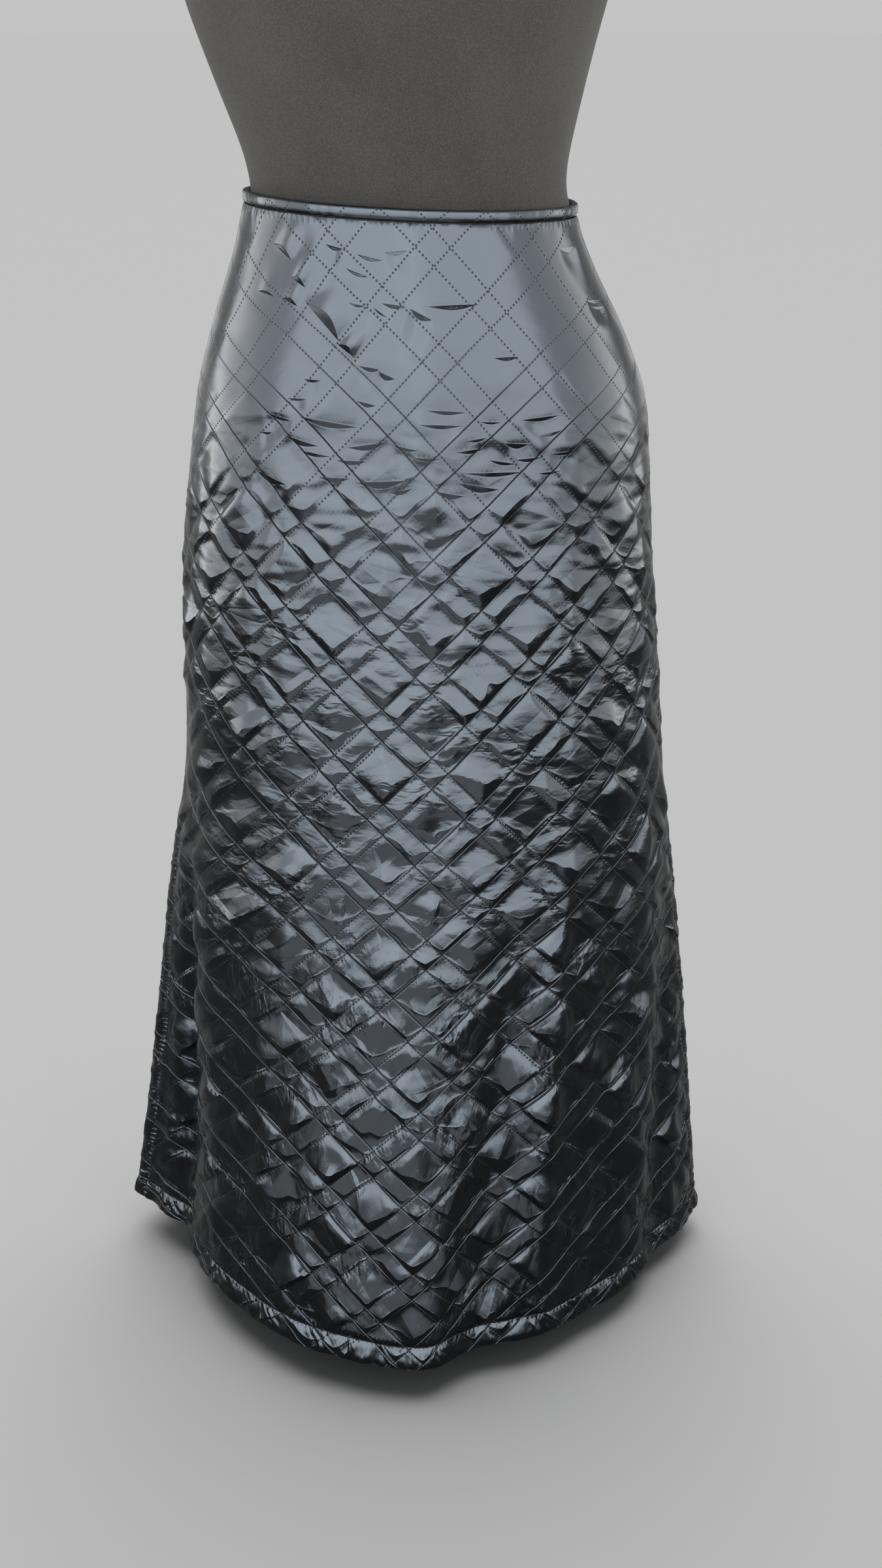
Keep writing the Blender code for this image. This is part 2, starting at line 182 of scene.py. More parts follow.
# Sharp creases listed one by one, their sizes in millimetres.  across, down: of
# the middle; length; lean: degrees from upright, tops to the right, past 90
# right ends down; width of the steep side; steepness: of a trough, or below 0
# of a raised fold.
FRONT_CREASES = (
    # across, down, length, lean, width, steepness
    (-96, 23, 21, -49, 3.6, -0.75),
    (-84, 44, 14, -52, 3.8, -0.90),
    (-92, 56, 15, -54, 3.0, -0.70),
    (-113, 46, 18, -65, 1.8, -0.70),
    (-68, 73, 40, -37, 7.4, -0.95),
    (-52, 95, 17, -50, 4.2, -0.95),
    (-54, 24, 14, 107, 2.6, 0.60),
    (-39, 42, 18, 113, 2.2, 0.60),
    (-29, 32, 20, 104, 2.6, 0.45),
    (-10, 28, 18, 84, 3.0, 0.35),
    (-41, 63, 13, 106, 2.0, 0.35),
    (-15, 64, 18, 98, 2.8, 0.35),
    (-25, 69, 12, 128, 1.5, 0.60),
    (-79, 114, 14, 97, 2.2, 0.45),
    (-92, 128, 17, 93, 2.0, 0.50),
    (-35, 107, 18, 100, 3.0, 0.45),
    (-24, 112, 15, 115, 4.0, 0.40),
    (-39, 132, 15, 104, 3.0, 0.30),
    (-107, 143, 22, 107, 2.6, 0.80),
    (-68, 146, 48, 99, 4.4, 0.45),
    (-118, 156, 10, 90, 2.0, 0.50),
    (-89, 161, 30, 105, 4.0, 0.60),
    (-39, 162, 31, 80, 4.0, 0.35),
    (-79, 170, 28, 98, 2.6, 0.45),
    (-50, 174, 24, 90, 3.2, 0.40),
    (-11, 163, 20, 100, 2.6, 0.50),
    (-63, 187, 25, 90, 3.6, 0.45),
    (-28, 188, 39, 85, 5.2, 0.45),
    (-113, 190, 29, 106, 4.6, 0.80),
    (-13, 194, 18, 75, 3.0, 0.50),
    (27, 62, 39, 82, 3.2, 0.70),
    (4, 70, 18, 116, 4.2, 0.50),
    (63, 94, 20, 80, 2.6, 0.40),
    (88, 136, 33, 79, 3.0, 0.75),
    (18, 136, 30, 90, 2.6, 0.35),
    (14, 146, 33, 89, 2.8, 0.35),
    (50, 142, 17, 88, 1.6, 0.45),
    (70, 157, 21, 90, 4.0, 0.70),
    (96, 148, 20, 75, 2.6, 0.30),
    (80, 168, 21, 82, 2.6, 0.50),
    (108, 163, 24, 83, 2.2, 0.50),
    (40, 155, 16, 78, 2.0, 0.35),
    (36, 163, 23, 80, 2.6, 0.45),
    (60, 171, 23, 97, 2.4, 0.55),
    (54, 179, 49, 88, 3.0, 0.60),
    (97, 178, 19, 84, 2.0, 0.55),
    (4, 170, 20, 91, 2.2, 0.40),
    (43, 189, 34, 98, 4.6, 0.45),
    (22, 195, 23, 98, 4.0, 0.45),
    (127, 7, 27, 73, 3.0, 0.45),
    (148, 34, 27, 73, 2.2, 0.45),
    (150, 38, 22, 76, 2.0, 0.45),
    (-74, 595, 36, -2, 4.0, 0.60),
    (-36, 485, 30, -12, 3.6, 0.55),
    (-74, 530, 26, 0, 2.4, 0.55),
    (-64, 525, 26, 6, 3.0, 0.50),
    (-34, 550, 24, -14, 3.4, 0.50),
    (-72, 670, 38, -6, 4.0, 0.65),
    (-48, 642, 28, -30, 4.0, 0.55),
    (-94, 690, 24, -12, 3.4, 0.50),
    (10, 522, 24, 20, 3.4, 0.50),
    (12, 670, 40, 68, 4.0, 0.45),
    (-54, 762, 30, -22, 3.4, 0.55),
    (-78, 748, 26, 4, 3.2, 0.55),
    (-46, 835, 34, -16, 3.6, 0.55),
)
BACK_CREASES = (
    # across, down, length, lean, width, steepness
    (64, 60, 34, 42, 6.0, -0.90),
    (82, 36, 18, 48, 3.4, -0.75),
    (-30, 82, 24, 102, 3.0, 0.50),
    (-56, 52, 18, 110, 2.4, 0.50),
    (14, 34, 20, 86, 2.8, 0.40),
    (10, 150, 42, 82, 3.6, 0.50),
    (-86, 120, 28, 118, 3.0, 0.65),
    (-60, 158, 34, 98, 3.6, 0.45),
    (58, 128, 26, 78, 2.6, 0.45),
    (90, 156, 30, 84, 3.2, 0.60),
    (-14, 178, 44, 92, 3.6, 0.45),
    (44, 184, 36, 84, 4.0, 0.50),
    (-100, 184, 28, 104, 3.6, 0.65),
    (70, 560, 32, 6, 3.6, 0.55),
    (28, 500, 26, -10, 3.2, 0.50),
    (-52, 610, 36, 10, 3.8, 0.60),
    (-18, 700, 30, -18, 3.4, 0.55),
    (88, 720, 34, 14, 3.4, 0.55),
    (-96, 780, 28, -8, 3.2, 0.50),
    (36, 830, 36, 20, 3.8, 0.55),
    (-68, 460, 26, 24, 3.2, 0.50),
)


# ---------------- sums
def smoothstep(value):
    value = np.clip(value, 0.0, 1.0)
    return value * value * (3.0 - 2.0 * value)


def read_table(table, place):
    """Reads a table's columns at given places, on smooth curves through its rows."""
    rows = np.array(table)
    key = rows[:, 0]
    place = np.clip(place, key[0], key[-1])
    upper = np.clip(np.searchsorted(key, place), 1, len(key) - 1)
    lower = upper - 1
    before = np.maximum(lower - 1, 0)
    after = np.minimum(upper + 1, len(key) - 1)
    span = key[upper] - key[lower]
    u = (place - key[lower]) / span
    result = []
    for column in rows[:, 1:].T:
        low_slope = (column[upper] - column[before]) / (key[upper] - key[before]) * span
        high_slope = (column[after] - column[lower]) / (key[after] - key[lower]) * span
        result.append((2 * u**3 - 3 * u**2 + 1) * column[lower] + (u**3 - 2 * u**2 + u) * low_slope
                      + (3 * u**2 - 2 * u**3) * column[upper] + (u**3 - u**2) * high_slope)
    return result


def read_grid(grid, column, row):
    """Reads a grid between its points, and straight on past its edges, with its two slopes."""
    i = np.clip(np.floor(row).astype(int), 0, grid.shape[0] - 2)
    j = np.clip(np.floor(column).astype(int), 0, grid.shape[1] - 2)
    u, v = column - j, row - i
    here, right = grid[i, j], grid[i, j + 1]
    below, corner = grid[i + 1, j], grid[i + 1, j + 1]
    value = (here * (1 - u) + right * u) * (1 - v) + (below * (1 - u) + corner * u) * v
    by_column = (right - here) * (1 - v) + (corner - below) * v
    by_row = (below - here) * (1 - u) + (corner - right) * u
    return value, by_column, by_row


def hills(x, y, seed):
    """Smooth random hills about one unit apart, from -1 to 1."""
    size = 128
    heights = np.random.default_rng(seed).uniform(-1.0, 1.0, (size, size))
    i, j = np.floor(x).astype(int), np.floor(y).astype(int)
    u, v = smoothstep(x - i), smoothstep(y - j)
    near, far = (heights[i % size, row % size] * (1 - u) + heights[(i + 1) % size, row % size] * u
                 for row in (j, j + 1))
    return near * (1 - v) + far * v


def ridges(x, y, seed):
    """Sharp-crested random ridges, from -1 to 1."""
    return 1.0 - np.abs(hills(x, y, seed)) * 2.0


def lesser(first, second, rounding):
    """The smaller of two heights, with their meeting edge rounded."""
    return 0.5 * (first + second - np.sqrt((first - second) ** 2 + rounding**2))


def rounded_ramp(value, rounding):
    """Nothing below 0 and the value itself above, with the corner rounded."""
    return 0.5 * (value + np.sqrt(value**2 + rounding**2))


def nearby(distance, width):
    """1 at a distance of 0, and nothing far from it."""
    return np.exp(-(distance / width) ** 2)


def squares(number):
    """The faces between the rows and columns of a grid of vertex numbers."""
    return np.stack((number[:-1, :-1], number[:-1, 1:], number[1:, 1:], number[1:, :-1]), -1).reshape(-1, 4)


# ---------------- cloth
class Panel:
    """One half of the skirt: its surface, the cloth laid flat, and its quilting."""

    COLUMNS, ROWS = 361, 240

    def __init__(self, name, side, hang, folds, creases, seed):
        self.name, self.side, self.hang = name, side, hang
        self.folds, self.seed = folds, seed
        self.creases = [(across * MM, down * MM, length * MM, lean, width * MM, steepness)
                        for across, down, length, lean, width, steepness in creases]
        angle, drop = np.meshgrid(np.linspace(-90.0, 90.0, self.COLUMNS),
                                  np.linspace(0.0, SKIRT_LENGTH, self.ROWS))
        self.across, self.down = self.lay_flat(self.outline(angle, drop))
        self.rise, self.fall = quilt_rows(self.across, self.down)

    def outline(self, angle, drop):
        """Points of the panel's outer surface, before its long folds."""
        half_width, front, back, shift = read_table(SECTIONS, drop)
        share, start = read_table(self.hang, angle)
        share = 1.0 + (share - 1.0) * smoothstep((drop - start) / (SKIRT_LENGTH - start))
        x = half_width * share * np.sin(np.radians(angle))
        opening = SLIT_OPENING * smoothstep((drop - SLIT_DROP) / (SKIRT_LENGTH - SLIT_DROP))
        depth = front if self.side < 0 else back
        y = depth * share * np.cos(np.radians(angle)) + 0.5 * (SEAM_GAP + opening)
        tilt = WAIST_TILT + (HEM_TILT - WAIST_TILT) * np.clip(drop / SKIRT_LENGTH, 0.0, 1.0)
        return np.stack((x + shift, self.side * y, WAIST_HEIGHT - drop - tilt * x), -1)

    def lay_flat(self, points):
        """The cloth's own metres, across and down, of a grid of points on the surface."""
        middle = self.COLUMNS // 2

        def summed(steps):
            total = np.concatenate((np.zeros((self.ROWS, 1)), np.cumsum(steps, 1)), 1)
            return total - total[:, middle:middle + 1]

        step_across = np.linalg.norm(np.diff(points, axis=1), axis=2)
        step_down = np.linalg.norm(np.diff(points, axis=0), axis=2)
        arc = summed(step_across)
        length = np.concatenate((np.zeros((1, self.COLUMNS)), np.cumsum(step_down, 0)), 0)
        flare = np.arctan(np.gradient(arc, axis=0) / np.gradient(length, axis=0))
        flare = 0.5 * (flare[:, 1:] + flare[:, :-1])
        across = summed(np.cos(flare) * step_across)
        down = length[:, middle:middle + 1] - summed(np.sin(flare) * step_across)
        return across, down

    def read(self, grid, angle, drop):
        column = (angle + 90.0) / 180.0 * (self.COLUMNS - 1)
        row = drop / SKIRT_LENGTH * (self.ROWS - 1)
        value, by_column, by_row = read_grid(grid, column, row)
        return value, by_column * (self.COLUMNS - 1) / 180.0, by_row * (self.ROWS - 1) / SKIRT_LENGTH

    def folded(self, angle, drop):
        """Points of the outer surface with its long folds."""
        across = self.read(self.across, angle, drop)[0]
        down = self.read(self.down, angle, drop)[0]
        height = np.zeros_like(across)
        for top_across, top_down, low_across, low_down, width, fold in self.folds:
            along = np.clip((down - top_down) / (low_down - top_down), 0.0, 1.0)
            place = top_across + (low_across - top_across) * along
            place = place + 0.006 * np.sin(9.0 * down + 40.0 * top_across)
            strength = smoothstep(along * 1.6) * (1.0 - 0.35 * smoothstep(along * 4.0 - 3.0))
            height += fold * strength * nearby(across - place, width * (0.7 + 0.6 * along))
        height *= smoothstep((90.0 - np.abs(angle)) / 8.0)
        return self.outline(angle, drop) + height[..., None] * self.facing(self.outline, angle, drop)

    def facing(self, surface, angle, drop):
        """Outward directions; at a side seam they have no part across the seam."""
        turn, step = 0.4, 0.0015
        sideways = surface(angle + turn, drop) - surface(angle - turn, drop)
        downwards = surface(angle, drop + step) - surface(angle, drop - step)
        normal = np.cross(sideways, downwards) * self.side
        at_seam = np.abs(angle)[..., None] > 89.5
        normal = np.where(at_seam, np.stack((np.sign(angle), 0.0 * angle, 0.0 * angle), -1), normal)
        return normal / np.linalg.norm(normal, axis=-1, keepdims=True)


def quilt_rows(across, down):
    """Where a place lies among the rising and the falling pairs of stitched lines."""
    # The diamonds are a little taller near the waist than near the hem.
    hung = down + 0.0085 * ((down - 0.43) / 0.41) ** 2 - 0.003
    lower = smoothstep((down - 0.30) / 0.20)
    left = rounded_ramp(-SIDES_FROM - across, SIDES_BEND) * lower
    right = rounded_ramp(across - SIDES_FROM, SIDES_BEND) * lower
    sideways = across - CROSSING[0] + 0.38 * left - 0.21 * right
    hung = hung - CROSSING[1] - 0.18 * left - 0.11 * right
    size = HALF_WIDTH * HALF_HEIGHT - LEAN_ACROSS * LEAN_DOWN
    across_rows = (sideways * HALF_HEIGHT + hung * LEAN_ACROSS) / size
    down_rows = (sideways * LEAN_DOWN + hung * HALF_WIDTH) / size
    return 0.5 * (down_rows + across_rows), 0.5 * (down_rows - across_rows)


def strip(row, inside):
    """The strip that a place lies in, and how far it is from the strip's upper and lower lines."""
    whole = np.round(inside)
    off = inside - whole
    narrow = np.abs(off) < LINES_APART / 2
    index = np.where(narrow, 2 * whole, 2 * whole + np.sign(off)).astype(int)
    half = np.where(narrow, LINES_APART, 1.0 - LINES_APART) * REPEAT / 2
    place = (row - index / 2.0) * REPEAT
    return index, narrow, half + place, half - place


CHANCES = 96  # cells before the same chances come again
TOP_CORNER, LOW_CORNER = 0.0024, 0.0020  # rounding of the creases from a cell's top and lowest corners
LINE_REACH = 0.0022  # how far a stitched line holds the padding down
DIAGONAL = 0.3536  # from distances off the lines to those across and down
CRUSH_SHARES = (1.0, 1.0, 0.7, 0.7)  # of the steepness, for a cell's four crush lines


def puffs(panel, rise, fall, across, down, rise_in, fall_in):
    """How far the padding stands out from the stitched lines, and what its folds turn on.

    rise_in and fall_in say which cell a place belongs to where it lies on a line.
    """
    upper, lower, tilt, crumple, stretch = read_table(FULLNESS, down)
    rise_index, rise_narrow, rise_above, rise_below = strip(rise, rise_in)
    fall_index, fall_narrow, fall_above, fall_below = strip(fall, fall_in)
    chance = np.random.default_rng(panel.seed).uniform(0.0, 1.0, (32, CHANCES, CHANCES))
    chance = chance[:, rise_index % CHANCES, fall_index % CHANCES]
    # What a cell's 32 chances decide, in their order.
    bulge, sides, leans, _, corners, tilts, over, under, turns, places, _ = np.split(
        chance, (1, 5, 9, 11, 13, 15, 17, 19, 23, 27))
    above = lesser(rise_above * (0.75 + 0.5 * over[0]), fall_above * (0.75 + 0.5 * over[1]),
                   TOP_CORNER * (0.4 + corners[0]))
    below = lesser(rise_below * (0.55 + under[0]), fall_below * (0.55 + under[1]),
                   LOW_CORNER * (0.4 + corners[1]))
    wander = 1.0 + 0.40 * hills(across / 0.013, down / 0.013, 21)
    wander += 0.20 * hills(across / 0.006, down / 0.006, 23)
    first = upper * above * (0.75 + 0.5 * bulge[0])
    second = lower * below * wander
    height = np.maximum(lesser(first, second, PUFF_ROUNDING), 0.0)
    mask = 1.0 - np.exp(-np.maximum(lesser(above, below, 0.001), 0.0) / LINE_REACH)
    across_cell = (rise_above - rise_below - fall_above + fall_below) * DIAGONAL
    down_cell = (rise_above - rise_below + fall_above - fall_below) * DIAGONAL
    height += tilt * mask * ((tilts[0] - 0.5) * across_cell + (tilts[1] - 0.5) * 0.7 * down_cell) * 2.0
    upright = smoothstep((down - 0.46) / 0.16 + 0.8 * hills(across / 0.07, down / 0.07, 22))
    lines = crush_lines(zip(sides, leans, turns, places, CRUSH_SHARES), rise_narrow | fall_narrow,
                        crumple, upright, across_cell, down_cell)
    for valley, crest in (lines[:2], lines[2:]):
        height += mask * (rounded_ramp(valley, CRUSH_ROUNDING) - rounded_ramp(crest, CRUSH_ROUNDING))
    wrinkle = ridges(across / 0.060, down / 0.0105 + 1.2 * hills(across / 0.05, down / 0.05, 31), 32)
    wrinkle += 0.6 * ridges(across / 0.035, down / 0.0065, 33)
    height += stretch * wrinkle * (0.4 + 0.6 * mask)
    return height, {"fold": (first - second, mask), "crush": lines[:2], "second_crush": lines[2:]}


def crush_lines(chances, narrow, crumple, upright, across_cell, down_cell):
    """What the creases that crush each cell turn on: two valleys, each with its crest."""
    lines = []
    steepness, spread = crumple * np.where(narrow, 0.6, 1.2), np.where(narrow, 0.009, 0.020)
    for side, lean, turn, place, share in chances:
        lean = np.where(side > 0.5, 1.0, -1.0) * (0.5 + 0.7 * lean)
        turn = 1.4 * (turn - 0.5)
        slope_side = lean * upright + turn * (1.0 - upright)
        slope_down = turn * upright + lean * (1.0 - upright)
        off = (place - 0.5) * spread
        lines.append(steepness * share * (slope_side * across_cell + slope_down * down_cell + off))
    return lines


def creases(panel, across, down, across_in, down_in):
    """The listed creases: a steep leaf-shaped side and a soft one behind it.

    Also what its sharp edges turn on, for the crease that is nearest to
    across_in and down_in.
    """
    height = np.zeros_like(across)
    strongest, chosen = np.full_like(across_in, 0.00002), np.zeros(across_in.shape, int)
    nowhere = (0.0, 0.0, 1.0, 0.0, 0.0, 0.0)
    rows = [nowhere] + panel.creases
    for number, row in enumerate(rows):
        side, leaf = crease_leaf(row, across, down)
        slope = crease_slope(row)
        step = rounded_ramp(side * slope, CREASE_ROUNDING)
        step -= rounded_ramp((side - leaf) * slope, CREASE_ROUNDING)
        back = np.maximum(side - leaf, 0.0) / (0.004 + 3.0 * row[4])
        height -= math.copysign(1.0, row[5]) * step * np.exp(-back**2)
        side, leaf = crease_leaf(row, across_in, down_in)
        if row[4] > 0.0:
            leaf = leaf * smoothstep((side / row[4] + 1.0) / 0.5) * smoothstep((2.0 - side / row[4]) / 0.5)
            chosen = np.where(leaf > strongest, number, chosen)
            strongest = np.maximum(strongest, leaf)
    row = np.array(rows)[chosen].T
    side, leaf = crease_leaf(row, across, down)
    slope = crease_slope(row)
    return height, (side * slope, np.sign(row[5]) * leaf * slope)


def crease_slope(row):
    """The steep side's slope; a wide crease is no deeper than a narrow one."""
    return np.minimum(np.abs(row[5]), CREASE_DEPTH / np.maximum(row[4], 0.001))


def crease_leaf(row, across, down):
    """How far a place is past a crease's sharp edge, and its steep side's width there."""
    at_across, at_down, length, lean, width = row[:5]
    turn = np.radians(lean)
    side = (across - at_across) * np.cos(turn) + (down - at_down) * np.sin(turn)
    along = -(across - at_across) * np.sin(turn) + (down - at_down) * np.cos(turn)
    return side, width * np.clip(1.0 - (2.0 * along / length) ** 2, 0.0, 1.0) ** 1.6


# Grooves along a panel's edges.  place: distance from the edge.
EDGE_GROOVES = (
    # edge, place, depth, width
    ("slit", SLIT_TURN, 0.0011, 0.0022),
    ("slit", 0.0, 0.0016, 0.0030),
    ("hem", HEM_TURN, 0.0016, 0.0022),
    ("hem", 0.0, 0.0020, 0.0030),
    ("waist", 0.0, 0.0007, 0.0018),
)
SEAM_SINK = 0.0016  # of the cloth towards the closed side seam
SIDE_RIBS, HEM_RIBS, GATHERS = 0.0009, 0.0007, 0.0006  # heights of the puckers
SLIT_DRAG = 0.0014  # height of the longer folds beside the slit
HEM_FLARE = 0.0035


def edges(drop, across, down, to_side, to_hem):
    """The seams, the turned edges with their puckered stitching, and the rolled rims."""
    slit = smoothstep((drop - SLIT_DROP) / 0.012)
    from_band = drop - BAND_HEIGHT
    ribs = ridges(to_side / 0.030 + 3.0 * down, down / 0.0075, 41)
    height = SIDE_RIBS * ribs * np.exp(-to_side / 0.016) * (0.4 + 0.8 * slit)
    height *= smoothstep((drop - 0.06) / 0.06)
    drag = ridges(to_side / 0.055 - 6.0 * down, down / 0.019 + 12.0 * to_side, 42)
    height += SLIT_DRAG * slit * drag * nearby(to_side - 0.034, 0.020)
    height -= SEAM_SINK * (1.0 - slit) * np.exp(-to_side / 0.0040)
    hem = smoothstep(1.0 - (to_hem - HEM_TURN) / 0.010)
    hem_ribs = ridges(across / 0.0095 + 70.0 * to_hem * np.sign(across), to_hem / 0.05, 43)
    height += hem * (HEM_RIBS * hem_ribs + HEM_FLARE * np.clip(1.0 - to_hem / HEM_TURN, 0.0, 1.0))
    gathers = ridges(across / 0.0060 + 0.4 * hills(across / 0.02, down / 0.02, 45), down / 0.030, 46)
    height += GATHERS * gathers * np.exp(-from_band / 0.006)
    measured = {"slit": (to_side, slit), "hem": (to_hem, 1.0), "waist": (from_band, 1.0)}
    for edge, place, depth, width in EDGE_GROOVES:
        distance, share = measured[edge]
        height -= depth * share * nearby(distance - place, width)
    return height


def lay_grid(panel):
    """The quilting's grid over a panel: places and cells that touch the panel."""
    cells = 3 * CELLS
    first = int(math.floor(min(panel.rise.min(), panel.fall.min()) * cells)) - 2
    last = int(math.ceil(max(panel.rise.max(), panel.fall.max()) * cells)) + 2
    numbers = np.arange(first, last + 1)
    rise, fall = np.meshgrid(numbers / cells, numbers / cells)
    sideways, hung = (rise - fall) * 0.0375, (rise + fall) * 0.0376
    near = (hung > -0.06) & (hung < SKIRT_LENGTH + 0.10) & (np.abs(sideways) < 0.46)
    rise_near, fall_near = rise[near], fall[near]
    drop = np.clip(hung[near] * 0.98, 0.0, SKIRT_LENGTH)
    reach = panel.read(panel.across, np.full_like(drop, 90.0), drop)[0]
    angle = np.clip(90.0 * sideways[near] / reach, -95.0, 95.0)
    for _ in range(14):
        rise_here, rise_angle, rise_drop = panel.read(panel.rise, angle, drop)
        fall_here, fall_angle, fall_drop = panel.read(panel.fall, angle, drop)
        size = rise_angle * fall_drop - rise_drop * fall_angle
        rise_miss, fall_miss = rise_near - rise_here, fall_near - fall_here
        angle = angle + np.clip((rise_miss * fall_drop - fall_miss * rise_drop) / size, -12.0, 12.0)
        drop = drop + np.clip((fall_miss * rise_angle - rise_miss * fall_angle) / size, -0.1, 0.1)
        angle, drop = np.clip(angle, -110.0, 110.0), np.clip(drop, -0.06, SKIRT_LENGTH + 0.06)
    missed = np.abs(rise_miss) + np.abs(fall_miss) > 0.02
    place = np.full(near.shape, -1)
    place[near] = np.arange(near.sum())
    inside = (np.abs(angle) <= 90.0) & (drop >= 0.0) & (drop <= SKIRT_LENGTH) & ~missed
    corners = squares(place)
    corners = corners[(corners >= 0).all(1)]
    corners = corners[inside[corners].any(1) & ~missed[corners].any(1)]
    return angle, drop, corners


SPREAD = 0.30 / 90.0  # metres that a degree takes up in the flat layout


def cut_panel(panel):
    """Cuts the grid to the panel's edges; returns its flat points and faces."""
    angle, drop, corners = lay_grid(panel)
    mesh = bpy.data.meshes.new("flat")
    flat = np.stack((angle * SPREAD, drop, np.zeros_like(drop)), -1)
    mesh.from_pydata(flat.tolist(), [], corners.tolist())
    builder = bmesh.new()
    builder.from_mesh(mesh)
    bpy.data.meshes.remove(mesh)
    loose = [vertex for vertex in builder.verts if not vertex.link_faces]
    bmesh.ops.delete(builder, geom=loose, context="VERTS")
    side = 90.0 * SPREAD
    for point, direction in (((side, 0, 0), (1, 0, 0)), ((-side, 0, 0), (-1, 0, 0)),
                             ((0, PANEL_TOP, 0), (0, -1, 0)), ((0, SKIRT_LENGTH, 0), (0, 1, 0))):
        everything = builder.verts[:] + builder.edges[:] + builder.faces[:]
        bmesh.ops.bisect_plane(builder, geom=everything, plane_co=point, plane_no=direction,
                               clear_outer=True, dist=2e-5)
    bmesh.ops.remove_doubles(builder, verts=builder.verts[:], dist=2e-5)
    bmesh.ops.dissolve_degenerate(builder, edges=builder.edges[:], dist=2e-5)
    return builder


def boundary_loop(builder):
    """The vertices round a flat sheet's edge, in order."""
    start = next(edge for edge in builder.edges if edge.is_boundary)
    loop = [start.verts[0], start.verts[1]]
    while True:
        following = next(edge.other_vert(loop[-1]) for edge in loop[-1].link_edges
                         if edge.is_boundary and edge.other_vert(loop[-1]) is not loop[-2])
        if following is loop[0]:
            return loop
        loop.append(following)


INNER_CELL = 0.010  # of the plain side that faces the form
LINES_SINK = 0.0010  # of the stitched lines under the outline
DEEPEST = 0.0024  # under the outline, of anything on the outside
FLAT_SIDE, FLAT_HEM, FLAT_WAIST = 0.022, 0.006, 0.008  # widths over which the padding flattens
HEM_PADDING = 0.35  # what is left of its height where the hem is turned


def read_all(panel, angle, drop):
    """The cloth's layouts at given places, and how far they are from the side and the hem."""
    across, down, rise, fall = (panel.read(grid, angle, drop)[0]
                                for grid in (panel.across, panel.down, panel.rise, panel.fall))
    first, last = (panel.read(panel.across, np.full_like(drop, end), drop)[0] for end in (-90.0, 90.0))
    to_side = np.maximum(np.where(angle > 0, last, -first) - np.abs(across), 0.0)
    to_hem = np.maximum(SKIRT_LENGTH - drop, 0.0) * CLOTH_SHARE
    return across, down, rise, fall, to_side, to_hem


def make_shell(panel):
    """A closed padded shell: quilted outside, plain and coarser inside."""
    builder = cut_panel(panel)
    rim = boundary_loop(builder)
    outer_count = len(builder.verts)
    builder.verts.index_update()
    flat = [vertex.co.copy() for vertex in builder.verts]
    inside = [Vector((x, y)) for x in np.arange(-90.0 * SPREAD, 90.0 * SPREAD, INNER_CELL)[1:]
              for y in np.arange(PANEL_TOP, SKIRT_LENGTH, INNER_CELL)[1:]]
    places, _, triangles, sources = delaunay_2d_cdt([vertex.co.to_2d() for vertex in rim] + inside, [],
                                                    [list(range(len(rim)))], 1, 1e-7)[:4]
    made_from = {}
    for number, (place, found) in enumerate(zip(places, sources)):
        flat.append(Vector((place.x, place.y, 0.0)))
        for source in found:
            made_from[source] = outer_count + number
    faces = [[vertex.index for vertex in face.verts] for face in builder.faces]
    faces += [[outer_count + corner for corner in reversed(triangle)] for triangle in triangles]
    for k, vertex in enumerate(rim):
        following = (k + 1) % len(rim)
        faces.append([vertex.index, rim[following].index, made_from[following], made_from[k]])
    builder.free()
    flat = np.array([point[:] for point in flat])
    angle, drop = flat[:, 0] / SPREAD, flat[:, 1]
    across, down, rise, fall, to_side, to_hem = read_all(panel, angle, drop)
    height = puffs(panel, rise, fall, across, down, rise, fall)[0]
    turned = HEM_PADDING + (1.0 - HEM_PADDING) * smoothstep((to_hem - HEM_TURN) / FLAT_HEM)
    height *= smoothstep(to_side / FLAT_SIDE) * turned
    height *= smoothstep((drop - BAND_HEIGHT) / FLAT_WAIST)
    height += creases(panel, across, down, across[:1], down[:1])[0]
    height += edges(drop, across, down, to_side, to_hem)
    height = np.maximum(height - LINES_SINK, -DEEPEST)
    height[outer_count:] = -WALL
    points = panel.folded(angle, drop) + height[:, None] * panel.facing(panel.folded, angle, drop)
    corner = np.concatenate(faces)
    count = np.array([len(face) for face in faces])
    first = np.cumsum(count) - count
    middles = (np.add.reduceat(values[corner], first) / count for values in (rise, fall, across, down))
    rise_in, fall_in, across_in, down_in = (np.repeat(middle, count) for middle in middles)
    folds = puffs(panel, rise[corner], fall[corner], across[corner], down[corner], rise_in, fall_in)[1]
    dents = creases(panel, across[corner], down[corner], across_in, down_in)[1]
    layouts = {"cloth": (across, down), "quilt": (rise, fall), "edge": (to_side, to_hem)}
    return make_mesh(panel.name + "_quilted", points, faces, layouts, {"crease": dents, **folds})


